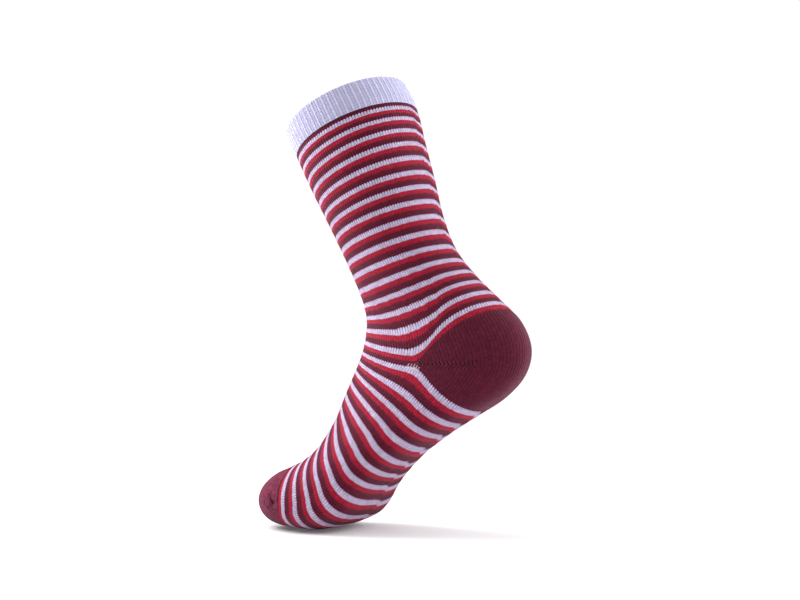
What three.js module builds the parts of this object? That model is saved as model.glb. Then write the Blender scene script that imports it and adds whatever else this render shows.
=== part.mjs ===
// A knitted crew sock in its worn, hollow shape, standing on its toes with the heel raised.
// Millimetres, +Z up. The toe points to -X, and the sock is even about the XZ plane.
// The origin is the middle of the leg opening.
import * as THREE from "three";

// Knit and seams.
const WALL = 1.2; // one layer of knit
const CUFF_WALL = 1.7; // the cuff is knitted double
const SEAM_GAP = 0.3;
const RIBS = 66;
const RIB_HEIGHT = 0.5;
const POINTS_PER_RIB = 4;

// Courses are the rows of knitting, counted down from the lower edge of the cuff.
const CUFF_TOP = -16;
const HEEL_COURSE = 194; // the heel pocket is let in after this course, over the back half
const TOE_COURSE = 336; // the toe pocket starts here

// Rows of points along each piece, as courses, or as steps across a pocket.
const CUFF_ROWS = [CUFF_TOP, -13.5, 0];
const LEG_ROWS = [0, 12, 24, 36, 48, 60, 72, 84, 96, 108, 120, 132, 144, 156, 167, 177, 186, HEEL_COURSE];
const FOOT_ROWS = [HEEL_COURSE, 200, 208, 218, 228, 238, 248, 258, 268, 278, 288, 298, 307, 316, 326, TOE_COURSE];
const HEEL_STEPS = 12;
const TOE_STEPS = 9;

// Angles go round the sock from its front line: 0 at the front, 90 at the side, 180 at the back.
const CORNER = 86.5; // where the heel pocket comes to a point on each side
const FRONT_STEPS = 9;
const BACK_STEPS = 13;
const CORNER_STEP = 2.5; // one narrow column beside the corner, where the pocket opens fast

// The leg opening's middle, with the floor at height 0. It becomes the origin.
const OPENING = new THREE.Vector3(-40.25, 0, 283.5);

// Sections from the leg opening to the toe tip. Each is a flat ring square to the XZ plane.
// Columns: section number, front x, front z, back x, back z, half width,
// place of the widest point from front to back, squareness of the front half and of the back half.
const SECTIONS = [
  [0, -80.5, 265.5, 0, 301.5, 43, 0.5, 2, 2],
  [1, -72, 248, 9.5, 282.5, 43.5, 0.5, 2, 2],
  [2, -61.5, 226.5, 15.5, 260, 41.5, 0.5, 2, 2],
  [3, -50.5, 205.5, 23, 233.5, 37.5, 0.5, 2, 2],
  [4, -40.5, 186, 29.5, 208.5, 33.5, 0.5, 2, 2],
  [5, -32, 168.5, 39, 185.5, 31, 0.5, 2, 2],
  [6, -25, 152, 54, 166.5, 30.5, 0.5, 2, 2],
  [7, -22, 139.5, 70.5, 150.5, 30.5, 0.5, 2, 2],
  [8, -22.5, 129.5, 84.5, 136, 31, 0.5, 2, 2.1],
  [9, -24.5, 120, 91, 118.5, 31.5, 0.5, 2, 2.2],
  [10, -27.5, 111.5, 86.5, 101.5, 31.5, 0.5, 2, 2.3],
  [11, -32, 101.5, 72.5, 87, 31.5, 0.5, 2, 2.4],
  [12, -38, 88, 52.5, 75, 32, 0.52, 2, 2.5],
  [13, -45, 71, 31, 62.5, 34, 0.54, 2, 2.6],
  [14, -55.5, 55, 11, 48, 37, 0.55, 2, 2.6],
  [15, -66, 46, -7, 30.5, 40.5, 0.56, 2, 2.8],
  [16, -76, 41, -23, 9, 43, 0.56, 2.1, 3],
  [17, -85, 37, -47, 0, 41, 0.55, 2.3, 3],
  [18, -92, 32, -68, 0, 35, 0.54, 2.3, 2.8],
  [19, -97, 27, -84, 1, 26, 0.54, 2.3, 2.5],
  [20, -101, 20.5, -95, 5.5, 15, 0.5, 2.2, 2.3],
  [21, -103, 13, -103, 13, 0, 0.5, 2.2, 2.3],
  [22, -95, 5.5, -101, 20.5, -15, 0.5, 2.2, 2.3],
];
const TOE_TIP = 21; // section 22 is section 20 turned over, so that the surface rounds over the tip

// How the courses lie on the sections. Columns: course, section number on the front line,
// share of the heel's pull, and how far the side runs ahead of a plain slanting course.
const COURSES = [
  [CUFF_TOP, 0, 0, 0.25],
  [0, 0.97, 0, 0.25],
  [18, 1.51, 0, 0.25],
  [54, 2.59, 0, 0.25],
  [90, 3.73, 0, 0.25],
  [114, 4.65, 0.05, 0.25],
  [138, 5.69, 0.16, 0.25],
  [162, 6.93, 0.48, 0.25],
  [174, 7.69, 0.71, 0.25],
  [HEEL_COURSE, 9, 1, 0.25],
  [210, 9.93, 0.38, 0.25],
  [225, 10.68, 0.16, 0.25],
  [246, 11.75, 0, 0.15],
  [290, 13.35, 0, 0.6],
  [TOE_COURSE, 15.55, 0, 0.5],
];
const FOOT_SLANT = 2.54; // sections from the top of the foot to the sole along one course
const CORNER_LIFT = 0.9; // sections from the front line to the heel corner
// The heel pocket's upper and lower edge. drop: sections from the corner to the edge at the back.
// bend: under 1 the edge leaves the corner steeply, over 1 gently.
const HEEL_ABOVE = { drop: -2.23, bend: 0.67 };
const HEEL_BELOW = { drop: 1.74, bend: 1.15 };
const CORNER_SOFTENING = 0.85; // degrees of rounding for each course away from the corner
const MOST_SOFTENING = 33;

const clamp01 = (value) => Math.min(1, Math.max(0, value));
const mix = (a, b, share) => a + (b - a) * share;
const ease = (share) => (1 - Math.cos(Math.PI * clamp01(share))) / 2;
const radians = THREE.MathUtils.degToRad;
const fromFront = (angle) => (angle > 180 ? 360 - angle : Math.abs(angle)); // both sides are alike

// Reads a table at any value of its first column, on a smooth curve through the rows.
function lookUp(table, at) {
  const last = table.length - 1;
  let i = 0;
  while (i < last - 1 && at > table[i + 1][0]) i++;
  const [a, b] = [table[i], table[i + 1]];
  const before = table[Math.max(i - 1, 0)];
  const after = table[Math.min(i + 2, last)];
  const span = b[0] - a[0];
  const s = clamp01((at - a[0]) / span);
  return a.slice(1).map((_, k) => {
    const c = k + 1;
    const slopeA = (b[c] - before[c]) / (b[0] - before[0]);
    const slopeB = (after[c] - a[c]) / (after[0] - a[0]);
    const rise = b[c] - a[c];
    const bendA = slopeA * span - rise;
    const bendB = rise - slopeB * span;
    return a[c] + s * rise + s * (1 - s) * ((1 - s) * bendA + s * bendB);
  });
}

// A point of the outer surface, on a section and at an angle round it.
function sectionPoint(section, angle) {
  const [frontX, frontZ, backX, backZ, half, widest, frontPower, backPower] = lookUp(SECTIONS, section);
  const along = Math.cos(radians(angle));
  const across = Math.sin(radians(angle));
  const power = along > 0 ? frontPower : backPower;
  const reach = (Math.abs(along) ** power + Math.abs(across) ** power) ** (-1 / power);
  const share = along > 0 ? widest * (1 - along * reach) : widest - (1 - widest) * along * reach;
  return new THREE.Vector3(mix(frontX, backX, share), -half * across * reach, mix(frontZ, backZ, share));
}

// The outward direction there.
function outward(section, angle) {
  const down = sectionPoint(section + 0.02, angle).sub(sectionPoint(section - 0.02, angle));
  const round = sectionPoint(section, angle + 0.5).sub(sectionPoint(section, angle - 0.5));
  return down.cross(round).normalize();
}

// The line that the courses take round the heel corner, before its edges are softened.
function heelLine(angle, edge) {
  const beyond = clamp01((fromFront(angle) - CORNER) / (180 - CORNER));
  return CORNER_LIFT * ease(fromFront(angle) / CORNER) + edge.drop * (1 - (1 - beyond) ** 3) ** edge.bend;
}

function softHeelLine(angle, edge, softening) {
  const steps = [-1, -0.5, 0, 0.5, 1];
  return steps.reduce((sum, step) => sum + heelLine(angle + softening * step, edge), 0) / steps.length;
}

// The section number where a course passes an angle. Under the foot a course slants back.
function sectionOfCourse(course, angle, foot) {
  const [front, pull, side] = lookUp(COURSES, course);
  const softening = Math.min(Math.abs(course - HEEL_COURSE) * CORNER_SOFTENING, MOST_SOFTENING);
  const slant = foot ? FOOT_SLANT * ease(fromFront(angle) / 180) + side * Math.sin(radians(angle)) ** 2 : 0;
  const round = softHeelLine(angle, foot ? HEEL_BELOW : HEEL_ABOVE, softening);
  return front + mix(slant, round, clamp01(pull));
}

// Angles of the columns, once round. Both halves have the same steps.
function columnAngles() {
  const half = [];
  for (let i = 0; i < FRONT_STEPS; i++) half.push((CORNER * i) / FRONT_STEPS);
  half.push(CORNER, CORNER + CORNER_STEP);
  const start = CORNER + CORNER_STEP;
  for (let i = 1; i < BACK_STEPS; i++) half.push(start + ((180 - start) * i) / BACK_STEPS);
  const other = half.slice(1).map((angle) => 360 - angle);
  return [...half, 180, ...other.reverse()];
}

// A skin is a grid of outer points, inner points and the triangles between them.
function emptySkin() {
  return { outer: [], inner: [], faces: [] };
}

function addPoint(skin, section, angle, wall, relief = 0) {
  const point = sectionPoint(section, angle);
  const normal = outward(section, angle);
  skin.outer.push(point.clone().addScaledVector(normal, relief));
  skin.inner.push(point.addScaledVector(normal, -wall));
  return skin.outer.length - 1;
}

function addQuad(skin, a, b, c, d) {
  skin.faces.push([a, b, c], [a, c, d]);
}

// Moves a row of points away from the seam, towards the next row, by half the seam's gap.
function openSeam(skin, row, next) {
  for (const side of [skin.outer, skin.inner]) {
    row.forEach((index, i) => {
      const step = side[next[i]].clone().sub(side[index]).setLength(SEAM_GAP / 2);
      side[index].add(step);
    });
  }
}

// Outer face, inner face, and a rim along every open edge.
function closedWall(skin) {
  const count = skin.outer.length;
  const positions = [...skin.outer, ...skin.inner].flatMap((p) => p.clone().sub(OPENING).toArray());
  const index = [];
  const open = new Map();
  for (const [a, b, c] of skin.faces) {
    index.push(a, b, c, a + count, c + count, b + count);
    for (const [from, to] of [[a, b], [b, c], [c, a]]) {
      if (!open.delete(to + "," + from)) open.set(from + "," + to, [from, to]);
    }
  }
  for (const [from, to] of open.values()) {
    index.push(from, from + count, to + count, from, to + count, to);
  }
  const geometry = new THREE.BufferGeometry();
  geometry.setAttribute("position", new THREE.Float32BufferAttribute(positions, 3));
  geometry.setIndex(index);
  geometry.computeVertexNormals();
  return geometry;
}

// Joins neighbouring rows of a tube.
function joinRows(skin, rows) {
  for (let r = 0; r + 1 < rows.length; r++) {
    const [upper, lower] = [rows[r], rows[r + 1]];
    upper.forEach((point, i) => {
      const next = (i + 1) % upper.length;
      addQuad(skin, point, lower[i], lower[next], upper[next]);
    });
  }
}

function cuff() {
  const skin = emptySkin();
  const columns = RIBS * POINTS_PER_RIB;
  const rows = CUFF_ROWS.map((course) => {
    const row = [];
    for (let i = 0; i < columns; i++) {
      const raised = i % POINTS_PER_RIB < POINTS_PER_RIB / 2 && course > CUFF_TOP;
      const angle = (360 * i) / columns;
      const section = sectionOfCourse(course, angle, false);
      row.push(addPoint(skin, section, angle, CUFF_WALL, raised ? RIB_HEIGHT : 0));
    }
    return row;
  });
  openSeam(skin, rows.at(-1), rows.at(-2));
  joinRows(skin, rows);
  return closedWall(skin);
}

function tube(courses, foot, seams) {
  const skin = emptySkin();
  const rows = courses.map((course) =>
    columnAngles().map((angle) => addPoint(skin, sectionOfCourse(course, angle, foot), angle, WALL)),
  );
  if (seams.upper) openSeam(skin, rows[0], rows[1]);
  if (seams.lower) openSeam(skin, rows.at(-1), rows.at(-2));
  joinRows(skin, rows);
  return closedWall(skin);
}

// The heel pocket fills the space between the last course of the leg and the first of the foot.
function heelPocket() {
  const skin = emptySkin();
  const angles = columnAngles().filter((angle) => angle > CORNER && angle < 360 - CORNER);
  const rows = [];
  for (let step = 0; step <= HEEL_STEPS; step++) {
    const row = angles.map((angle) => {
      const top = sectionOfCourse(HEEL_COURSE, angle, false);
      const bottom = sectionOfCourse(HEEL_COURSE, angle, true);
      return addPoint(skin, mix(top, bottom, step / HEEL_STEPS), angle, WALL);
    });
    rows.push(row);
  }
  openSeam(skin, rows[0], rows[1]);
  openSeam(skin, rows.at(-1), rows.at(-2));
  const cornerSection = sectionOfCourse(HEEL_COURSE, CORNER, false);
  const near = addPoint(skin, cornerSection, CORNER, WALL);
  const far = addPoint(skin, cornerSection, 360 - CORNER, WALL);
  const middle = rows[HEEL_STEPS / 2];
  for (let times = 0; times < 3; times++) openSeam(skin, [near, far], [middle[0], middle.at(-1)]);
  for (let r = 0; r < HEEL_STEPS; r++) {
    const [upper, lower] = [rows[r], rows[r + 1]];
    skin.faces.push([near, lower[0], upper[0]], [far, upper.at(-1), lower.at(-1)]);
    for (let i = 0; i + 1 < upper.length; i++) addQuad(skin, upper[i], lower[i], lower[i + 1], upper[i + 1]);
  }
  return closedWall(skin);
}

function toePocket() {
  const skin = emptySkin();
  const rows = [];
  for (let step = 0; step < TOE_STEPS; step++) {
    const share = Math.sin(((step / TOE_STEPS) * Math.PI) / 2) ** 1.15;
    const row = columnAngles().map((angle) => {
      const start = sectionOfCourse(TOE_COURSE, angle, true);
      return addPoint(skin, mix(start, TOE_TIP, share), angle, WALL);
    });
    rows.push(row);
  }
  openSeam(skin, rows[0], rows[1]);
  joinRows(skin, rows);
  const lastRow = rows.at(-1);
  skin.outer.push(sectionPoint(TOE_TIP, 0));
  skin.inner.push(sectionPoint(TOE_TIP, 0).add(new THREE.Vector3(WALL, 0, 0)));
  const tip = skin.outer.length - 1;
  lastRow.forEach((point, i) => skin.faces.push([point, tip, lastRow[(i + 1) % lastRow.length]]));
  return closedWall(skin);
}

function piece(name, geometry, colour, roughness) {
  const material = new THREE.MeshStandardMaterial({ color: colour, roughness, metalness: 0 });
  const mesh = new THREE.Mesh(geometry, material);
  mesh.name = name;
  return mesh;
}

const PERIWINKLE = "#b8b0d3";
const RED = "#a0293a";
const MAROON = "#5e2a3a";

const sock = new THREE.Group();
sock.add(piece("cuff", cuff(), PERIWINKLE, 0.9));
sock.add(piece("leg", tube(LEG_ROWS, false, { upper: true, lower: true }), RED, 0.92));
sock.add(piece("heel", heelPocket(), MAROON, 0.92));
sock.add(piece("foot", tube(FOOT_ROWS, true, { upper: true, lower: true }), RED, 0.92));
sock.add(piece("toe", toePocket(), MAROON, 0.92));

export default sock;
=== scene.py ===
import math

import bmesh
import bpy
import numpy as np
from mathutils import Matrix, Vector


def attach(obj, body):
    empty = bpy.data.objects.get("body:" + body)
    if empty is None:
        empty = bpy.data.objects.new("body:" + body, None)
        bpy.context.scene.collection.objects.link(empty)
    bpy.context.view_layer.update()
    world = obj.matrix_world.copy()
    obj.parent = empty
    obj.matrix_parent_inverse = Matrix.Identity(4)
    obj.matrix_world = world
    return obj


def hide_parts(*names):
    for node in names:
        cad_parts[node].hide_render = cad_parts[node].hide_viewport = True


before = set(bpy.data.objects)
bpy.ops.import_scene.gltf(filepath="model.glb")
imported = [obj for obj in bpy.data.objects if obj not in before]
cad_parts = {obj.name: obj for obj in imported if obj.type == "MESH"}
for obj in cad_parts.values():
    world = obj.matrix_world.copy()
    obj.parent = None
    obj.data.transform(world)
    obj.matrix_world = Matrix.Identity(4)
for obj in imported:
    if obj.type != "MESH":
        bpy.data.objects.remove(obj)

# A knitted crew sock in its worn, hollow shape, standing on its toes with the heel raised.
# Tables are in millimetres on a floor at height 0. Finished pieces are in metres about the leg opening.
MM = 0.001
OPENING = np.array([-40.25, 0.0, 283.5])
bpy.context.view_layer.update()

# Where the photograph was taken from.
CAMERA_TARGET = Vector((0.04075, 0.0, -0.1315))
CAMERA_AZIMUTH = math.radians(25.0)
CAMERA_ELEVATION = math.radians(-4.0)
CAMERA_DISTANCE = 0.795
CAMERA_LENS = 53.66

# The knitting, in wales round the sock and courses down from the lower edge of the cuff.
WALES = 132
BACK_WALE = 66
STRIPE_REPEAT = 12.0
FIRST_PALE_COURSE = 4.0
SPIRAL = 2.4  # courses that a stripe climbs once round the sock
STEP_WALES = 2.5  # wales to each side of the middle of the back where it steps back
CORNER = 86.5  # degrees round the sock from the front line to the heel's corner
CORNER_WALE = CORNER / 360 * WALES
HEEL_COURSE = 194
TOE_COURSE = 336
TOE_COURSES = 84  # courses that the toe pocket would have, counted from its top edge round to its sole
GORE_WALES = 17
POCKET_COURSES = 36  # short rows in each half of the heel
TOE_GORE_START = 40  # keeps the toe's gore apart from the heel's in the gore map
# Dimples where the toe's gore is drawn in. Columns: distance ahead of the gore's start, distance below
# the gore, width, height and depth, in millimetres.
# Each dimple's depth also sets how dark its painted shade is.
TOE_DIMPLES = [
    (5.6, -3.4, 1.8, 3.0, 2.0),
    (6.6, -8.6, 1.7, 1.7, 1.2),
    (9.6, -0.2, 2.6, 1.3, 0.7),
    (13.0, -3.0, 1.2, 1.6, 0.35),
]
CUFF_TOP = -16
CUFF_COURSES = 22

# Walls, in millimetres.
WALL = 1.2
CUFF_WALL = 1.7
CUFF_HEIGHT = 19.4
CUFF_HEM = CUFF_HEIGHT + 0.1  # where the cuff ends, just over its seam with the leg
CUFF_SECTIONS = 0.97  # sections from the leg opening to the seam
CUFF_BULGE = 0.25
RIB_HEIGHT = 0.4
WALE_RELIEF = 0.12
STRIPE_RELIEF = 0.1
HEEL_GROOVE = 0.4
TOE_GROOVE = 0.3
TOE_SEAM = 0.3
TOE_HALF_WIDTH = 43.5

# Sections from the leg opening to the toe tip. Each is a flat ring square to the XZ plane.
# Columns: section number, front x, front z, back x, back z, half width,
# place of the widest point from front to back, squareness of the front half and of the back half.
SECTIONS = [
    [0, -80.5, 265.5, 0, 301.5, 43, 0.5, 2, 2],
    [1, -72, 248, 9.5, 282.5, 43.5, 0.5, 2, 2],
    [2, -61.5, 226.5, 15.5, 260, 41.5, 0.5, 2, 2],
    [3, -50.5, 205.5, 23, 233.5, 37.5, 0.5, 2, 2],
    [4, -40.5, 186, 29.5, 208.5, 33.5, 0.5, 2, 2],
    [5, -32, 168.5, 39, 185.5, 31, 0.5, 2, 2],
    [6, -25, 152, 54, 166.5, 30.5, 0.5, 2, 2],
    [7, -22, 139.5, 70.5, 150.5, 30.5, 0.5, 2, 2],
    [8, -22.5, 129.5, 84.5, 136, 31, 0.5, 2, 2.1],
    [9, -24.5, 120, 91, 118.5, 31.5, 0.5, 2, 2.2],
    [10, -27.5, 111.5, 86.5, 101.5, 31.5, 0.5, 2, 2.3],
    [11, -32, 101.5, 72.5, 87, 31.5, 0.5, 2, 2.4],
    [12, -38, 88, 52.5, 75, 32, 0.52, 2, 2.5],
    [13, -45, 71, 31, 62.5, 34, 0.54, 2, 2.6],
    [14, -55.5, 55, 11, 48, 37, 0.55, 2, 2.6],
    [15, -66, 46, -7, 30.5, 40.5, 0.56, 2, 2.8],
    [16, -76, 41, -23, 9, 43, 0.56, 2.1, 3],
    [17, -85, 37, -47, 0, 41, 0.55, 2.3, 3],
    [18, -92, 32, -68, 0, 35, 0.54, 2.3, 2.8],
    [19, -97, 27, -84, 1, 26, 0.54, 2.3, 2.5],
    [20, -101, 20.5, -95, 5.5, 15, 0.5, 2.2, 2.3],
    [21, -103, 13, -103, 13, 0, 0.5, 2.2, 2.3],
    [22, -95, 5.5, -101, 20.5, -15, 0.5, 2.2, 2.3],
]
TOE_TIP = 21

# How the courses lie on the sections. Columns: course, section number on the front line,
# share of the heel's pull, and how far the side runs ahead of a plain slanting course.
COURSES = [
    [CUFF_TOP, 0, 0, 0.25],
    [0, 0.97, 0, 0.25],
    [18, 1.51, 0, 0.25],
    [54, 2.59, 0, 0.25],
    [90, 3.73, 0, 0.25],
    [114, 4.65, 0.05, 0.25],
    [138, 5.69, 0.16, 0.25],
    [162, 6.93, 0.48, 0.25],
    [174, 7.69, 0.71, 0.25],
    [HEEL_COURSE, 9, 1, 0.25],
    [210, 9.93, 0.38, 0.25],
    [225, 10.68, 0.16, 0.25],
    [246, 11.75, 0, 0.15],
    [290, 13.35, 0, 0.6],
    [TOE_COURSE, 15.55, 0, 0.5],
]
FOOT_SLANT = 2.54
CORNER_LIFT = 0.9
# The heel pocket's upper and lower edge: sections from the corner to the edge at the back, and the
# bend, which under 1 leaves the corner steeply and over 1 gently.
HEEL_ABOVE = (-2.23, 0.67)
HEEL_BELOW = (1.74, 1.15)
CORNER_SOFTENING = 0.85
MOST_SOFTENING = 33
SECTION_LENGTH = 9.5  # millimetres between two sections at the heel's side
GORE_MARKS = 15
GORE_RISE = 0.22  # sections that the gore climbs on its way to the back
GORE_TURN = 38.0  # degrees round the sock from the corner to the inner end of the gore


def ease(share):
    return (1 - np.cos(np.pi * np.clip(share, 0, 1))) / 2


def look_up(table, at):
    """Reads a table at any values of its first column, on a smooth curve through the rows."""
    rows = np.array(table, float)
    at = np.asarray(at, float)
    last = len(rows) - 1
    i = np.clip(np.searchsorted(rows[:, 0], at) - 1, 0, last - 1)
    a, b = rows[i], rows[i + 1]
    before, after = rows[np.maximum(i - 1, 0)], rows[np.minimum(i + 2, last)]
    span = b[..., :1] - a[..., :1]
    s = np.clip((at[..., None] - a[..., :1]) / span, 0, 1)
    rise = b - a
    bend_a = (b - before) / (b[..., :1] - before[..., :1]) * span - rise
    bend_b = rise - (after - a) / (after[..., :1] - a[..., :1]) * span
    values = a + s * rise + s * (1 - s) * ((1 - s) * bend_a + s * bend_b)
    return np.moveaxis(values[..., 1:], -1, 0)


def sock_point(section, angle):
    """A point of the outer surface, on a section and at an angle round it."""
    values = look_up(SECTIONS, section)
    front_x, front_z, back_x, back_z, half, widest, front_power, back_power = values
    along, across = np.cos(np.radians(angle)), np.sin(np.radians(angle))
    power = np.where(along > 0, front_power, back_power)
    reach = (np.abs(along) ** power + np.abs(across) ** power) ** (-1 / power)
    share = np.where(along > 0, widest * (1 - along * reach), widest - (1 - widest) * along * reach)
    x = front_x + (back_x - front_x) * share
    z = front_z + (back_z - front_z) * share
    return np.stack([x, -half * across * reach, z], axis=-1) - OPENING


def outward(section, angle):
    """The direction square to the surface there."""
    down = sock_point(section + 0.02, angle) - sock_point(section - 0.02, angle)
    around = sock_point(section, angle + 0.5) - sock_point(section, angle - 0.5)
    normal = np.cross(down, around)
    return normal / np.maximum(np.linalg.norm(normal, axis=-1, keepdims=True), 1e-9)


def from_front(angle):
    return np.where(angle > 180, 360 - angle, np.abs(angle))


def sweep(share, edge):
    drop, bend = edge
    return drop * (1 - (1 - share) ** 3) ** bend


def heel_line(angle, edge):
    """The line that the courses take round the heel corner, before its edges are softened."""
    beyond = np.clip((from_front(angle) - CORNER) / (180 - CORNER), 0, 1)
    return CORNER_LIFT * ease(from_front(angle) / CORNER) + sweep(beyond, edge)


def section_of_course(course, angle, foot):
    """The section number where a course passes an angle. Under the foot a course slants back."""
    front, pull, side = look_up(COURSES, course)
    softening = np.minimum(np.abs(course - HEEL_COURSE) * CORNER_SOFTENING, MOST_SOFTENING)
    edge = HEEL_BELOW if foot else HEEL_ABOVE
    soft_line = sum(heel_line(angle + softening * step, edge) for step in (-1, -0.5, 0, 0.5, 1)) / 5
    slant = 0.0
    if foot:
        slant = FOOT_SLANT * ease(from_front(angle) / 180) + side * np.sin(np.radians(angle)) ** 2
    pull = np.clip(pull, 0, 1)
    return front + slant * (1 - pull) + soft_line * pull


def lengths_along(points):
    steps = np.linalg.norm(np.diff(points, axis=0), axis=1)
    return np.concatenate([[0.0], np.cumsum(steps)])


def wale_angles(course, foot, wales):
    """The angles where wales cross a course, evenly spaced on each side of the heel corner's line."""
    fine = np.linspace(0, 180, 721)
    length = lengths_along(sock_point(section_of_course(course, fine, foot), fine))
    corner_length = np.interp(CORNER, fine, length)
    half = np.minimum(wales, WALES - wales)
    before = half / CORNER_WALE * corner_length
    behind = length[-1] - corner_length
    beyond = (half - CORNER_WALE) / (BACK_WALE - CORNER_WALE) * behind + corner_length
    angle = np.interp(np.where(half < CORNER_WALE, before, beyond), length, fine)
    return np.where(wales > BACK_WALE, 360 - angle, angle)


def raised(points, section, angle, relief):
    return points + outward(section, angle) * relief[..., None]


def cloth(name, places, knit, gore=None):
    """A grid of knitting, bent to rows of places. knit holds each place's wale and course."""
    rows, columns = places.shape[0] - 1, places.shape[1] - 1
    skin = bmesh.new()
    skin.loops.layers.uv.new("knit")
    if gore is not None:
        skin.loops.layers.uv.new("gore")
    bmesh.ops.create_grid(skin, x_segments=columns, y_segments=rows, size=0.5)
    mesh = bpy.data.meshes.new(name)
    skin.to_mesh(mesh)
    flat = np.empty(len(mesh.vertices) * 3)
    mesh.vertices.foreach_get("co", flat)
    flat = flat.reshape(-1, 3)
    column = np.rint((flat[:, 0] + 0.5) * columns).astype(int)
    row = np.rint((flat[:, 1] + 0.5) * rows).astype(int)
    mesh.vertices.foreach_set("co", (places[row, column] * MM).ravel())
    corner = np.empty(len(mesh.loops), dtype=np.int32)
    mesh.loops.foreach_get("vertex_index", corner)
    mesh.uv_layers["knit"].data.foreach_set("uv", knit[row, column][corner].ravel())
    if gore is not None:
        mesh.uv_layers["gore"].data.foreach_set("uv", gore[row, column][corner].ravel())
    skin.clear()
    skin.from_mesh(mesh)
    bmesh.ops.remove_doubles(skin, verts=skin.verts, dist=2e-6)
    bmesh.ops.recalc_face_normals(skin, faces=skin.faces)
    skin.to_mesh(mesh)
    skin.free()
    piece = bpy.data.objects.new(name, mesh)
    bpy.context.scene.collection.objects.link(piece)
    return piece


def finish_cloth(piece, materials, wall=None):
    """Gives a skin its wall and its materials, outer side first, and smooth shading between edges."""
    for material in materials:
        piece.data.materials.append(material)
    if wall is not None:
        thick = piece.modifiers.new("wall", "SOLIDIFY")
        thick.thickness = wall * MM
        thick.offset = -1
        thick.material_offset = 1
        graph = bpy.context.evaluated_depsgraph_get()
        made = bpy.data.meshes.new_from_object(piece.evaluated_get(graph))
        piece.modifiers.clear()
        piece.data = made
    piece.data.shade_smooth()
    piece.data.set_sharp_from_angle(angle=math.radians(50))


def tube_rows(courses, foot, columns):
    """Sections, angles, wales and courses of a tube's grid."""
    wales = np.linspace(0, WALES, columns + 1)
    angle = np.stack([wale_angles(course, foot, wales) for course in courses])
    course = np.repeat(np.asarray(courses, float)[:, None], columns + 1, axis=1)
    section = np.stack([section_of_course(c, a, foot) for c, a in zip(courses, angle)])
    return section, angle, np.broadcast_to(wales, course.shape), course


def wale_ridges(wale):
    return WALE_RELIEF * (0.5 - 0.5 * np.cos(2 * np.pi * wale)) - WALE_RELIEF / 2


def stripe_swell(course):
    return STRIPE_RELIEF * np.cos(2 * np.pi * (course - 7) / STRIPE_REPEAT)


def striped_tube(name, courses, foot):
    section, angle, wale, course = tube_rows(courses, foot, WALES * 3)
    relief = wale_ridges(wale) + stripe_swell(course)
    places = raised(sock_point(section, angle), section, angle, relief)
    return cloth(name, places, np.stack([wale, course], axis=-1))


def cuff_band():
    """The double cuff as one closed ring: up the ribbed outside, over the fold and down the plain inside."""
    outer_rows, inner_rows = 41, 13
    fold = CUFF_WALL / 2
    turn = np.radians(np.linspace(0, 180, 9))
    outside = np.linspace(CUFF_HEM, fold, outer_rows + 1)[:-1]
    inside = np.linspace(fold, CUFF_HEM, inner_rows + 1)[1:]
    down = np.concatenate([outside, fold - fold * np.sin(turn), inside, outside[:1]])
    over_fold = fold * (1 - np.cos(turn))
    on_inside = np.full(inner_rows, CUFF_WALL)
    step_in = np.concatenate([np.zeros(outer_rows), over_fold, on_inside, [0.0]])
    fading = (0.5 + 0.5 * np.cos(turn)) ** 0.5
    ribbing = np.concatenate([np.ones(outer_rows), fading, np.zeros(inner_rows), [1.0]])
    ribbing = ribbing * (0.25 + 0.75 * ease((CUFF_HEM - down) / 1.6))
    bulge = CUFF_BULGE * np.sin(np.pi * np.clip(down / CUFF_HEIGHT, 0, 1)) * (step_in == 0)
    wales = np.linspace(0, WALES, WALES * 4 + 1)
    angle = np.stack([wale_angles(CUFF_TOP - CUFF_TOP * d / CUFF_HEIGHT, False, wales) for d in down])
    section = np.repeat(CUFF_SECTIONS * down[:, None] / CUFF_HEIGHT, len(wales), axis=1)
    wale = np.broadcast_to(wales, angle.shape)
    wide_rib = 0.5 + 0.5 * np.cos(np.pi * (wale - 0.5))
    rib = 0.6 * wide_rib + 0.4 * (0.5 - 0.5 * np.cos(2 * np.pi * wale))
    relief = bulge[:, None] - step_in[:, None] + RIB_HEIGHT * ribbing[:, None] * rib
    places = raised(sock_point(section, angle), section, angle, relief)
    over = np.concatenate([[0.0], np.cumsum(np.hypot(np.diff(down), np.diff(step_in)))])
    course = np.repeat(-over[:, None] * CUFF_COURSES / CUFF_HEIGHT, len(wales), axis=1)
    return cloth("cuff_band", places, np.stack([wale, course], axis=-1))


def gore_section(turn):
    return look_up(COURSES, HEEL_COURSE)[0] + CORNER_LIFT - GORE_RISE * turn


def pocket_course(turn, edge, share):
    """A short row of the heel, from the gore to the back. turn is its place along the gore, 0 to 1."""
    angle = (CORNER + GORE_TURN * turn) + share * (180 - CORNER - GORE_TURN * turn)
    section = gore_section(turn) + (1 - turn) * sweep(share, edge)
    return section, angle


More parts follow.
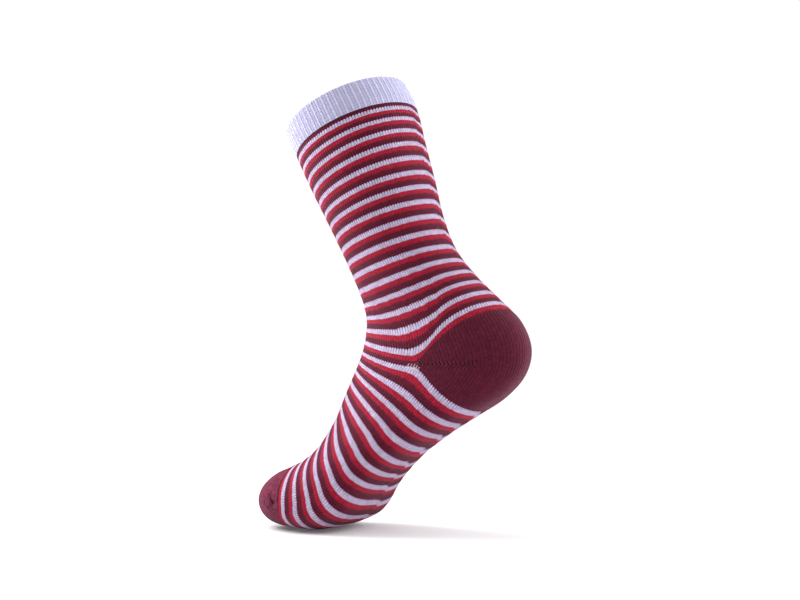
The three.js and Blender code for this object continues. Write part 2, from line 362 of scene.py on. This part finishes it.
def heel_half(edge, columns, rows):
    """Half the heel pocket, from the leg or the foot to the gore. Its columns are wales."""
    turn_steps, row_steps = 72, 240
    turns = np.linspace(0, 1, turn_steps + 1)
    even = np.linspace(0, 1, row_steps + 1)
    fine = even ** 2
    tables = []
    for turn in turns:
        section, angle = pocket_course(turn, edge, fine)
        length = lengths_along(sock_point(section, angle))
        tables.append(np.interp(even, length / length[-1], fine))
    tables = np.array(tables)
    wale = np.linspace(CORNER_WALE, WALES - CORNER_WALE, columns + 1)
    half = np.minimum(wale, WALES - wale)
    last_turn = np.clip((half - CORNER_WALE) / GORE_WALES, 0, 1)
    turn = np.linspace(0, 1, rows + 1)[:, None] * last_turn[None, :]
    gore_wale = CORNER_WALE + GORE_WALES * turn
    spaced = np.clip((half - gore_wale) / (BACK_WALE - gore_wale), 0, 1)
    t, f = turn * turn_steps, spaced * row_steps
    t0, f0 = np.minimum(t.astype(int), turn_steps - 1), np.minimum(f.astype(int), row_steps - 1)
    ts, fs = t - t0, f - f0
    upper = tables[t0, f0] * (1 - fs) + tables[t0, f0 + 1] * fs
    lower = tables[t0 + 1, f0] * (1 - fs) + tables[t0 + 1, f0 + 1] * fs
    section, angle = pocket_course(turn, edge, upper * (1 - ts) + lower * ts)
    angle = np.where(wale[None, :] > BACK_WALE, 360 - angle, angle)
    return section, angle, np.broadcast_to(wale, angle.shape), turn


def heel_pocket():
    """Both halves of the heel, joined along the gore, whose groove runs to each side."""
    above = heel_half(HEEL_ABOVE, 300, POCKET_COURSES)
    below = heel_half(HEEL_BELOW, 300, POCKET_COURSES)
    section = np.concatenate([above[0], below[0][-2::-1]])
    angle = np.concatenate([above[1], below[1][-2::-1]])
    wale = np.concatenate([above[2], below[2][-2::-1]])
    course = np.concatenate([above[3], 2 - below[3][-2::-1]]) * POCKET_COURSES + HEEL_COURSE
    along = (from_front(angle) - CORNER) / GORE_TURN * GORE_WALES
    beside = (section - gore_section(along / GORE_WALES)) * SECTION_LENGTH
    gore_end = 1 - ease((along - GORE_WALES + 3) / 4)
    groove = -HEEL_GROOVE * np.exp(-((beside / 0.8) ** 2)) * gore_end
    relief = wale_ridges(wale) + groove
    places = raised(sock_point(section, angle), section, angle, relief)
    knit = np.stack([wale, course], axis=-1)
    return cloth("heel_pocket", places, knit, np.stack([along, beside], axis=-1))


def toe_pocket():
    """The toe in one piece: the seam's ridge along its upper edge, and a dimpled gore on each side."""
    rows, columns = 84, WALES * 3
    wales = np.linspace(0, WALES, columns + 1)
    edge_angle = wale_angles(TOE_COURSE, True, wales)
    start = section_of_course(TOE_COURSE, edge_angle, True)
    share = np.sin(np.linspace(0, np.pi / 2, rows + 1)) ** 1.15
    section = start + (TOE_TIP - start) * share[:, None]
    angle = np.broadcast_to(edge_angle, section.shape)
    points = sock_point(section, angle)
    corner = sock_point(section_of_course(TOE_COURSE, np.array(90.0), True), np.array(90.0))
    sole = sock_point(section_of_course(TOE_COURSE, np.array(180.0), True), np.array(180.0))
    gore_end = sock_point(np.array(20.0), np.array(90.0))
    away = points - corner
    to_sole = math.atan2(sole[2] - corner[2], sole[0] - corner[0])
    around = to_sole - np.arctan2(away[..., 2], away[..., 0])
    around = (around + 0.6) % (2 * np.pi) - 0.6
    course = TOE_COURSE + TOE_COURSES * around / np.pi
    aside = np.clip(-points[..., 1] / TOE_HALF_WIDTH, -1, 1)
    wale = BACK_WALE - WALES / 4 * 2 / np.pi * np.arcsin(aside)
    line = np.array([gore_end[0] - corner[0], gore_end[2] - corner[2]])
    line = line / np.linalg.norm(line)
    along = away[..., 0] * line[0] + away[..., 2] * line[1]
    beside = away[..., 2] * line[0] - away[..., 0] * line[1]
    near = points[..., 1] < 0
    side = np.abs(np.sin(np.radians(angle))) ** 4
    fading = (1 - ease((along - 16) / 8)) * side
    groove = -TOE_GROOVE * np.exp(-((beside + 3) ** 2)) * fading
    pucker = np.where(near, 1.0, 0.75) * side
    for ahead, below, width, height, depth in TOE_DIMPLES:
        spot = np.exp(-(((along - ahead) / width) ** 2) - ((beside - below) / height) ** 2)
        groove = groove - depth * pucker * spot
    seam = TOE_SEAM * np.exp(-((share[:, None] * 40) ** 2)) * (from_front(angle) < 88)
    places = raised(points, section, angle, groove + seam)
    knit = np.stack([wale, course], axis=-1)
    return cloth("toe_pocket", places, knit, np.stack([TOE_GORE_START + along, beside], axis=-1))


def linear(red, green, blue):
    """A screen colour, 0 to 255, as the shader wants it."""
    shares = [value / 255 for value in (red, green, blue)]
    return tuple(c / 12.92 if c <= 0.04 else ((c + 0.055) / 1.055) ** 2.4 for c in shares) + (1.0,)


def wire(tree, value, socket):
    if isinstance(value, bpy.types.NodeSocket):
        tree.links.new(value, socket)
    else:
        socket.default_value = value


def maths(tree, operation, *values):
    node = tree.nodes.new("ShaderNodeMath")
    node.operation = operation
    for value, socket in zip(values, node.inputs):
        wire(tree, value, socket)
    return node.outputs[0]


def shade(tree, colour, brightness):
    """A colour, made lighter or darker."""
    node = tree.nodes.new("ShaderNodeVectorMath")
    node.operation = "SCALE"
    wire(tree, colour, node.inputs[0])
    wire(tree, brightness, node.inputs["Scale"])
    return node.outputs[0]


def mixed(tree, share, first, second):
    node = tree.nodes.new("ShaderNodeMix")
    node.data_type = "RGBA"
    wire(tree, share, node.inputs[0])
    wire(tree, first, node.inputs[6])
    wire(tree, second, node.inputs[7])
    return node.outputs[2]


def smooth_step(tree, value, low, high):
    """0 up to low, 1 from high on, and a smooth rise between them."""
    node = tree.nodes.new("ShaderNodeMapRange")
    node.interpolation_type = "SMOOTHSTEP"
    wire(tree, value, node.inputs["Value"])
    node.inputs["From Min"].default_value = low
    node.inputs["From Max"].default_value = high
    return node.outputs[0]


def new_group(name, inputs, outputs):
    """An empty node group. A socket called Colour holds a colour, and the others hold numbers."""
    group = bpy.data.node_groups.new(name, "ShaderNodeTree")
    for names, side in ((inputs, "INPUT"), (outputs, "OUTPUT")):
        for socket in names:
            kind = "NodeSocketColor" if socket == "Colour" else "NodeSocketFloat"
            group.interface.new_socket(name=socket, in_out=side, socket_type=kind)
    given = group.nodes.new("NodeGroupInput")
    result = group.nodes.new("NodeGroupOutput")
    return group, given.outputs, result.inputs


def use_group(tree, group, values):
    """Places a group in a material, with what goes into each of its inputs, and gives back its outputs."""
    node = tree.nodes.new("ShaderNodeGroup")
    node.node_tree = group
    for name, value in values.items():
        wire(tree, value, node.inputs[name])
    return node.outputs


def stitch_group():
    """Stocking stitch: each wale is a column of V shapes, one to a course. Its Light is painted shade,
    darker between the wales and between the courses.
    """
    group, given, result = new_group(
        "stocking_stitch",
        ("Wale", "Course", "Leg slope"),
        ("Gap", "Height", "Light", "Yarn"),
    )
    wale, course, slope = given["Wale"], given["Course"], given["Leg slope"]
    across = maths(group, "FRACT", wale)
    aside = maths(group, "ABSOLUTE", maths(group, "MULTIPLY_ADD", across, 2.0, -1.0))
    lean = maths(group, "MULTIPLY", maths(group, "SUBTRACT", aside, 0.5), slope)
    slanted = maths(group, "SUBTRACT", course, lean)
    row = maths(group, "FLOOR", slanted)
    within = maths(group, "FRACT", slanted)
    leg = maths(group, "SINE", maths(group, "MULTIPLY_ADD", aside, 0.8 * math.pi, 0.2 * math.pi))
    arch = maths(group, "SINE", maths(group, "MULTIPLY", within, math.pi))
    body = maths(group, "POWER", arch, 0.5)
    height = maths(group, "MULTIPLY", leg, maths(group, "MULTIPLY_ADD", body, 0.6, 0.4))
    stitch = group.nodes.new("ShaderNodeCombineXYZ")
    wire(group, maths(group, "FLOOR", wale), stitch.inputs[0])
    wire(group, row, stitch.inputs[1])
    chance = group.nodes.new("ShaderNodeTexWhiteNoise")
    chance.noise_dimensions = "2D"
    wire(group, stitch.outputs[0], chance.inputs["Vector"])
    # Painted shade in the gap between two wales and between the courses.
    gap = smooth_step(group, aside, 0.35, 1.0)
    between = maths(group, "MULTIPLY", maths(group, "SUBTRACT", 1.0, body), 0.35)
    wire(group, gap, result["Gap"])
    wire(group, height, result["Height"])
    shadow = maths(group, "MAXIMUM", gap, between)
    wire(group, maths(group, "SUBTRACT", 1.0, shadow), result["Light"])
    wire(group, chance.outputs["Value"], result["Yarn"])
    return group


# Unevenness of the yarn. Columns: name, noise scale and detail.
YARN_NOISES = [
    ("Fibres", 1500.0, 3.0),
    ("Clumps", 420.0, 2.0),
    ("Patches", 45.0, 2.0),
]


def fibre_group():
    """Loose fibres, clumps of them and slow unevenness of the yarn, on the object's own coordinates."""
    group, given, result = new_group("yarn_fibres", (), ("Fibres", "Clumps", "Patches"))
    place = group.nodes.new("ShaderNodeTexCoord")
    for name, scale, detail in YARN_NOISES:
        noise = group.nodes.new("ShaderNodeTexNoise")
        noise.inputs["Scale"].default_value = scale
        noise.inputs["Detail"].default_value = detail
        wire(group, place.outputs["Object"], noise.inputs["Vector"])
        value = noise.outputs[0]
        if name == "Clumps":
            value = smooth_step(group, value, 0.36, 0.62)
        wire(group, value, result[name])
    return group


def shading_group():
    """How light and how high each point is. Gap shade sets how dark the painted shade between stitches is,
    and the stitches all differ a little.
    """
    group, given, result = new_group(
        "yarn_shading",
        ("Light", "Yarn", "Height", "Patches", "Fibres", "Gap shade", "Chance"),
        ("Light", "Height"),
    )
    least = maths(group, "SUBTRACT", 1.0, given["Gap shade"])
    light = maths(group, "MULTIPLY_ADD", given["Light"], given["Gap shade"], least)
    darkest = maths(group, "MULTIPLY_ADD", given["Chance"], -0.5, 1.0)
    yarn = maths(group, "MULTIPLY_ADD", given["Yarn"], given["Chance"], darkest)
    patch = maths(group, "MULTIPLY_ADD", given["Patches"], 0.16, 0.92)
    fuzz = maths(group, "MULTIPLY_ADD", given["Fibres"], 0.5, 0.75)
    uneven = maths(group, "MULTIPLY", patch, fuzz)
    light = maths(group, "MULTIPLY", maths(group, "MULTIPLY", light, yarn), uneven)
    height = maths(group, "MULTIPLY_ADD", given["Fibres"], 0.25, given["Height"])
    wire(group, light, result["Light"])
    wire(group, height, result["Height"])
    return group


def spiral_group():
    """Stripes climb a little round the sock, and step back at the back, where the yarns change."""
    group, given, result = new_group("stripe_spiral", ("Wale", "Course"), ("Course",))
    turn = maths(group, "DIVIDE", given["Wale"], WALES)
    step = smooth_step(group, turn, 0.5 - STEP_WALES / WALES, 0.5 + STEP_WALES / WALES)
    climb = maths(group, "SUBTRACT", turn, step)
    course = maths(group, "MULTIPLY_ADD", climb, SPIRAL, given["Course"])
    wire(group, course, result["Course"])
    return group


def stripe_group():
    """Four courses each of periwinkle, red and maroon.

    At an edge the yarn above shows between the wales. The edges are ragged at the middle of the back,
    where the yarns change.
    """
    group, given, result = new_group("stripes", ("Wale", "Course", "Gap", "Yarn"), ("Colour",))
    from_first = maths(group, "SUBTRACT", given["Course"], FIRST_PALE_COURSE)
    repeats = maths(group, "DIVIDE", from_first, STRIPE_REPEAT)
    repeat = maths(group, "MULTIPLY", maths(group, "FRACT", repeats), STRIPE_REPEAT)
    from_back = maths(group, "ABSOLUTE", maths(group, "SUBTRACT", given["Wale"], BACK_WALE))
    ragged = maths(group, "MULTIPLY_ADD", smooth_step(group, from_back, 1.5, 5.0), -3.5, 4.5)
    chance = maths(group, "MULTIPLY", maths(group, "SUBTRACT", given["Yarn"], 0.5), ragged)
    colour = MAROON
    for (start, teeth, chances), below in zip(STRIPE_EDGES, (PERIWINKLE, RED, MAROON)):
        edge = maths(group, "MULTIPLY_ADD", chance, chances, start)
        edge = maths(group, "MULTIPLY_ADD", given["Gap"], teeth, edge)
        colour = mixed(group, maths(group, "GREATER_THAN", repeat, edge), colour, below)
    wire(group, colour, result["Colour"])
    return group


def drawn_group():
    """The stitches beside each heel corner are drawn open, and the pale core yarn shows between them."""
    group, given, result = new_group("drawn_stitches", ("Wale", "Course", "Gap"), ("Hole",))
    from_back = maths(group, "ABSOLUTE", maths(group, "SUBTRACT", given["Wale"], BACK_WALE))
    side = maths(group, "SUBTRACT", BACK_WALE, from_back)
    beside = maths(group, "ABSOLUTE", maths(group, "SUBTRACT", side, CORNER_WALE - 0.8))
    course = maths(group, "ABSOLUTE", maths(group, "SUBTRACT", given["Course"], HEEL_COURSE + 1.0))
    at_course = maths(group, "LESS_THAN", course, 1.7)
    near = maths(group, "MULTIPLY", maths(group, "LESS_THAN", beside, 2.2), at_course)
    between = maths(group, "LESS_THAN", maths(group, "FRACT", given["Course"]), 0.6)
    hole = maths(group, "MULTIPLY", between, smooth_step(group, given["Gap"], 0.3, 0.7))
    wire(group, maths(group, "MULTIPLY", near, hole), result["Hole"])
    return group


def gore_group():
    """The marks along the heel's gores, as painted shade on each mark and painted light between them, and
    painted shade in the dimples of the toe's.
    """
    group, given, result = new_group("gore_marks_and_shade", ("Along", "Beside"), ("Light", "Mark"))
    along, beside = given["Along"], maths(group, "ABSOLUTE", given["Beside"])
    marks = maths(group, "MULTIPLY", along, GORE_MARKS / GORE_WALES)
    mark = maths(group, "FRACT", maths(group, "MULTIPLY_ADD", beside, 0.4, marks))
    mark = maths(group, "LESS_THAN", mark, 0.5)
    not_over = maths(group, "LESS_THAN", along, GORE_WALES)
    begun = maths(group, "MULTIPLY", maths(group, "GREATER_THAN", along, 0.3), not_over)
    close = maths(group, "SUBTRACT", 1.0, smooth_step(group, beside, 1.2, 2.3))
    on_gore = maths(group, "MULTIPLY", begun, close)
    # Painted shade on each mark and painted light between the marks.
    contrast = maths(group, "MULTIPLY_ADD", mark, -0.8, 0.3)
    light = maths(group, "MULTIPLY_ADD", on_gore, contrast, 0.9)
    # Painted shade in each of the toe's dimples, darker the deeper the dimple.
    for ahead, below, wide, tall, dent in TOE_DIMPLES:
        across = maths(group, "DIVIDE", maths(group, "SUBTRACT", along, TOE_GORE_START + ahead), wide)
        down = maths(group, "DIVIDE", maths(group, "SUBTRACT", given["Beside"], below), tall)
        squares = maths(group, "MULTIPLY_ADD", across, across, maths(group, "MULTIPLY", down, down))
        from_middle = maths(group, "SQRT", squares)
        shadow = maths(group, "SUBTRACT", 1.0, smooth_step(group, from_middle, 0.2, 1.3))
        darker = maths(group, "MULTIPLY_ADD", shadow, -0.45 * dent, 1.0)
        light = maths(group, "MULTIPLY", light, darker)
    wire(group, light, result["Light"])
    wire(group, maths(group, "MULTIPLY", mark, on_gore), result["Mark"])
    return group


CUFF_PERIWINKLE = linear(180, 178, 208)
PERIWINKLE = linear(190, 177, 207)
RED = linear(163, 29, 52)
MAROON = linear(87, 24, 44)
# The same maroon yarn as the heel's, painted lighter and pinker for the light that falls on the toe.
LIT_TOE_MAROON = linear(109, 30, 58)
PALE_CORE = linear(214, 190, 200)
CLOTH_SHEEN = (1.0, 0.55, 0.74, 1.0)
CUFF_SHEEN = (0.92, 0.88, 1.0, 1.0)

# The upper edges of the periwinkle, red and maroon stripes, in courses of each repeat of twelve.
# Columns: course, courses that the upper colour reaches down between the wales, and chance from
# stitch to stitch.
STRIPE_EDGES = [
    (0.0, 1.05, 0.5),
    (3.9, 0.4, 0.3),
    (7.35, 1.2, 0.35),
]

STITCH = stitch_group()
FIBRES = fibre_group()
SHADING = shading_group()
STRIPE_SPIRAL = spiral_group()
STRIPES = stripe_group()
DRAWN = drawn_group()
GORE = gore_group()


class Knit:
    """The nodes that every knitted material starts with and ends with."""

    def __init__(self, name):
        self.material = bpy.data.materials.new(name)
        self.material.use_nodes = True
        self.tree = self.material.node_tree
        self.wale, self.course = self.places("knit")
        self.fibres = use_group(self.tree, FIBRES, {})

    def places(self, map_name):
        uv = self.tree.nodes.new("ShaderNodeUVMap")
        uv.uv_map = map_name
        split = self.tree.nodes.new("ShaderNodeSeparateXYZ")
        wire(self.tree, uv.outputs[0], split.inputs[0])
        return split.outputs[0], split.outputs[1]

    def stitches(self, course, slope):
        return use_group(self.tree, STITCH, {"Wale": self.wale, "Course": course, "Leg slope": slope})

    def shading(self, stitches, gap, chance=0.36):
        values = {name: stitches[name] for name in ("Light", "Yarn", "Height")}
        values.update({name: self.fibres[name] for name in ("Patches", "Fibres")})
        values.update({"Gap shade": gap, "Chance": chance})
        return use_group(self.tree, SHADING, values)

    def finish(self, colour, height, sheen, tint, depth):
        tree, shader = self.tree, self.tree.nodes["Principled BSDF"]
        wire(tree, colour, shader.inputs["Base Color"])
        shader.inputs["Roughness"].default_value = 0.92
        shader.inputs["Specular IOR Level"].default_value = 0.12
        shader.inputs["Sheen Weight"].default_value = sheen
        shader.inputs["Sheen Roughness"].default_value = 0.35
        shader.inputs["Sheen Tint"].default_value = tint
        bump = tree.nodes.new("ShaderNodeBump")
        bump.inputs["Strength"].default_value = 1.0
        bump.inputs["Distance"].default_value = depth * MM
        wire(tree, height, bump.inputs["Height"])
        wire(tree, bump.outputs[0], shader.inputs["Normal"])
        return self.material


def stripe_material(name, slope, gap, sheen, depth):
    """Striped stocking stitch. gap is how dark the painted shade between the wales is, and depth the
    stitches' own.
    """
    knit = Knit(name)
    tree, wale = knit.tree, knit.wale
    course = use_group(tree, STRIPE_SPIRAL, {"Wale": wale, "Course": knit.course})["Course"]
    stitches = knit.stitches(course, slope)
    shading = knit.shading(stitches, gap)
    values = {"Wale": wale, "Course": course, "Gap": stitches["Gap"], "Yarn": stitches["Yarn"]}
    colour = shade(tree, use_group(tree, STRIPES, values)["Colour"], shading["Light"])
    hole = use_group(tree, DRAWN, {"Wale": wale, "Course": knit.course, "Gap": stitches["Gap"]})["Hole"]
    colour = mixed(tree, hole, colour, PALE_CORE)
    return knit.finish(colour, shading["Height"], sheen, CLOTH_SHEEN, depth)


def pocket_material(name, yarn_colour, slope, gap, sheen, depth, mottle):
    """Plain stocking stitch of one yarn, with its gores, which carry painted light and shade. mottle is how
    uneven the yarn is.
    """
    knit = Knit(name)
    tree = knit.tree
    along, beside = knit.places("gore")
    shading = knit.shading(knit.stitches(knit.course, slope), gap)
    gore = use_group(tree, GORE, {"Along": along, "Beside": beside})
    clumps = knit.fibres["Clumps"]
    light = maths(tree, "MULTIPLY", shading["Light"], gore["Light"])
    mottled = maths(tree, "MULTIPLY_ADD", clumps, 2 * mottle, 1.0 - mottle)
    light = maths(tree, "MULTIPLY", light, mottled)
    height = maths(tree, "MULTIPLY_ADD", gore["Mark"], -0.8, shading["Height"])
    height = maths(tree, "MULTIPLY_ADD", clumps, mottle, height)
    return knit.finish(shade(tree, yarn_colour[:3], light), height, sheen, CLOTH_SHEEN, depth)


def cuff_material(name, gap, sheen, depth):
    """Rib: a wale up and a wale back. The wale back, in each rib's valley, has painted shade, and so do
    small spots, the holes between the courses.
    """
    knit = Knit(name)
    tree = knit.tree
    stitches = knit.stitches(knit.course, 0.5)
    shading = knit.shading(stitches, gap, 0.12)
    # Painted shade in each rib's valley and in the holes between the courses.
    valley = maths(tree, "COSINE", maths(tree, "MULTIPLY_ADD", knit.wale, math.pi, -0.5 * math.pi))
    valley = maths(tree, "MULTIPLY_ADD", valley, -0.5, 0.5)
    hole_shade = maths(tree, "SINE", maths(tree, "MULTIPLY", knit.course, math.pi))
    hole_shade = maths(tree, "MULTIPLY_ADD", hole_shade, 0.5, 0.5)
    hole_shade = maths(tree, "MULTIPLY", stitches["Gap"], hole_shade)
    ribbed = maths(tree, "MULTIPLY_ADD", valley, -0.2, 1.08)
    light = maths(tree, "MULTIPLY", shading["Light"], ribbed)
    light = maths(tree, "MULTIPLY", light, maths(tree, "MULTIPLY_ADD", hole_shade, -0.3, 1.06))
    colour = shade(tree, CUFF_PERIWINKLE[:3], light)
    return knit.finish(colour, shading["Height"], sheen, CUFF_SHEEN, depth)


def place_camera():
    data = bpy.data.cameras.new("camera")
    data.lens = CAMERA_LENS
    data.sensor_width = 36.0
    data.clip_start, data.clip_end = 0.01, 30.0
    camera = bpy.data.objects.new("camera", data)
    back = Vector((
        math.sin(CAMERA_AZIMUTH) * math.cos(CAMERA_ELEVATION),
        -math.cos(CAMERA_AZIMUTH) * math.cos(CAMERA_ELEVATION),
        math.sin(CAMERA_ELEVATION),
    ))
    camera.location = CAMERA_TARGET + back * CAMERA_DISTANCE
    camera.rotation_euler = (-back).to_track_quat("-Z", "Y").to_euler()
    bpy.context.scene.collection.objects.link(camera)
    bpy.context.scene.camera = camera


FLOOR_DROP = 0.8  # millimetres that the cloth reaches below height 0
FLOOR_HALF = 1.0  # metres from its middle to an edge
# The grey near the sock is painted shade, and the paper's glow is painted light.
FLOOR_SHADED_NEAR = (0.63, 0.62, 0.63, 1.0)
FLOOR_AWAY = (0.95, 0.95, 0.95, 1.0)
FLOOR_FADE = (0.45, 0.8)  # metres from the leg opening where the paper starts to glow, and glows fully
GLOW_NEAR = 0.07
GLOW_ADDED = 0.3

# Soft round lights. Columns: name, place and width in metres, and watts.
WINDOWS = [
    ("left_window", (-0.76, -0.05, 0.38), 0.8, 17.4),
    ("right_window", (1.0, 0.65, 0.32), 0.9, 17.0),
    ("toe_card", (-0.3, -0.12, -0.24), 0.16, 0.24),
]
LIGHTS_AIM = Vector((0.03, 0.0, -0.15))
CEILING_STRENGTH = 2.55
CEILING_WIDTH = math.radians(110)
AIR_LIGHT = 0.38
BACKDROP_LIGHT = 1.05  # what the camera sees behind everything


def lay_floor():
    """White paper, painted greyer near the sock as painted shade, with painted light glowing from it:
    faintly near the sock, which lightens the shadow under it, and more farther off, so that its edges don't
    show.
    """
    sheet = bmesh.new()
    bmesh.ops.create_grid(sheet, x_segments=1, y_segments=1, size=FLOOR_HALF)
    bmesh.ops.translate(sheet, vec=(0, 0, -(OPENING[2] + FLOOR_DROP) * MM), verts=sheet.verts)
    mesh = bpy.data.meshes.new("floor")
    sheet.to_mesh(mesh)
    sheet.free()
    floor = bpy.data.objects.new("floor", mesh)
    bpy.context.scene.collection.objects.link(floor)
    material = bpy.data.materials.new("white_paper")
    material.use_nodes = True
    tree = material.node_tree
    shader = tree.nodes["Principled BSDF"]
    place = tree.nodes.new("ShaderNodeTexCoord")
    length = tree.nodes.new("ShaderNodeVectorMath")
    length.operation = "LENGTH"
    wire(tree, place.outputs["Object"], length.inputs[0])
    away = smooth_step(tree, length.outputs["Value"], *FLOOR_FADE)
    wire(tree, mixed(tree, away, FLOOR_SHADED_NEAR, FLOOR_AWAY), shader.inputs["Base Color"])
    glow = maths(tree, "MULTIPLY_ADD", away, GLOW_ADDED, GLOW_NEAR)
    wire(tree, glow, shader.inputs["Emission Strength"])
    shader.inputs["Roughness"].default_value = 0.9
    shader.inputs["Specular IOR Level"].default_value = 0.1
    shader.inputs["Emission Color"].default_value = (1.0, 0.98, 1.0, 1.0)
    mesh.materials.append(material)


def area_light(name, place, size, power):
    data = bpy.data.lights.new(name, "AREA")
    data.shape = "DISK"
    data.size = size
    data.energy = power
    light = bpy.data.objects.new(name, data)
    light.location = place
    aim = LIGHTS_AIM - Vector(place)
    light.rotation_euler = aim.to_track_quat("-Z", "Y").to_euler()
    bpy.context.scene.collection.objects.link(light)


def light_studio():
    """Even light from all round, and a brighter white behind everything for the camera alone."""
    world = bpy.data.worlds.new("studio")
    world.use_nodes = True
    bpy.context.scene.world = world
    tree = world.node_tree
    tree.nodes.clear()
    lighting = tree.nodes.new("ShaderNodeBackground")
    lighting.inputs["Strength"].default_value = AIR_LIGHT
    seen = tree.nodes.new("ShaderNodeBackground")
    seen.inputs["Strength"].default_value = BACKDROP_LIGHT
    for background in (lighting, seen):
        background.inputs["Color"].default_value = (1.0, 1.0, 1.0, 1.0)
    rays = tree.nodes.new("ShaderNodeLightPath")
    choose = tree.nodes.new("ShaderNodeMixShader")
    output = tree.nodes.new("ShaderNodeOutputWorld")
    tree.links.new(rays.outputs["Is Camera Ray"], choose.inputs[0])
    tree.links.new(lighting.outputs[0], choose.inputs[1])
    tree.links.new(seen.outputs[0], choose.inputs[2])
    tree.links.new(choose.outputs[0], output.inputs[0])
    for window in WINDOWS:
        area_light(*window)
    ceiling = bpy.data.lights.new("ceiling", "SUN")
    ceiling.energy = CEILING_STRENGTH
    ceiling.angle = CEILING_WIDTH
    bpy.context.scene.collection.objects.link(bpy.data.objects.new("ceiling", ceiling))
    bpy.context.scene.view_settings.view_transform = "Standard"


place_camera()
lay_floor()
light_studio()

stripe_face = stripe_material("stripe_knit", slope=1.3, gap=0.45, sheen=0.15, depth=0.3)
stripe_reverse = stripe_material("stripe_knit_reverse", slope=0.2, gap=0.4, sheen=0.1, depth=0.3)
pocket_face = pocket_material(
    "pocket_knit", MAROON, slope=1.0, gap=0.3, sheen=0.25, depth=0.16, mottle=0.08
)
# The toe's knit uses the maroon painted lighter for the light on the toe.
toe_face = pocket_material(
    "toe_knit", LIT_TOE_MAROON, slope=1.0, gap=0.3, sheen=0.15, depth=0.4, mottle=0.38
)
pocket_reverse = pocket_material(
    "pocket_knit_reverse", MAROON, slope=0.2, gap=0.4, sheen=0.1, depth=0.3, mottle=0.2
)
cuff_face = cuff_material("cuff_knit", gap=0.18, sheen=0.12, depth=0.2)

cuff = cuff_band()
finish_cloth(cuff, [cuff_face])
leg = striped_tube("leg_tube", np.linspace(0, HEEL_COURSE, 98), False)
finish_cloth(leg, [stripe_face, stripe_reverse], WALL)
heel = heel_pocket()
finish_cloth(heel, [pocket_face, pocket_reverse], WALL)
foot = striped_tube("foot_tube", np.linspace(HEEL_COURSE, TOE_COURSE, 72), True)
finish_cloth(foot, [stripe_face, stripe_reverse], WALL)
toe = toe_pocket()
finish_cloth(toe, [toe_face, pocket_reverse], WALL)

# Flat sizes of each knitted part before it is stretched, in metres: width round the sock, and length,
# and its area where it isn't a rectangle.
FLAT_CUTS = [
    (cuff, "cuff", "cuff_knit", (0.19, 0.021), None),
    (leg, "leg", "stripe_knit", (0.18, 0.165), None),
    (heel, "heel", "pocket_knit", (0.105, 0.068), 0.0055),
    (foot, "foot", "stripe_knit", (0.18, 0.122), None),
    (toe, "toe", "pocket_knit", (0.09, 0.062), 0.0043),
]
for piece, node, slot, flat, area in FLAT_CUTS:
    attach(piece, "root")
    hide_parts(node)
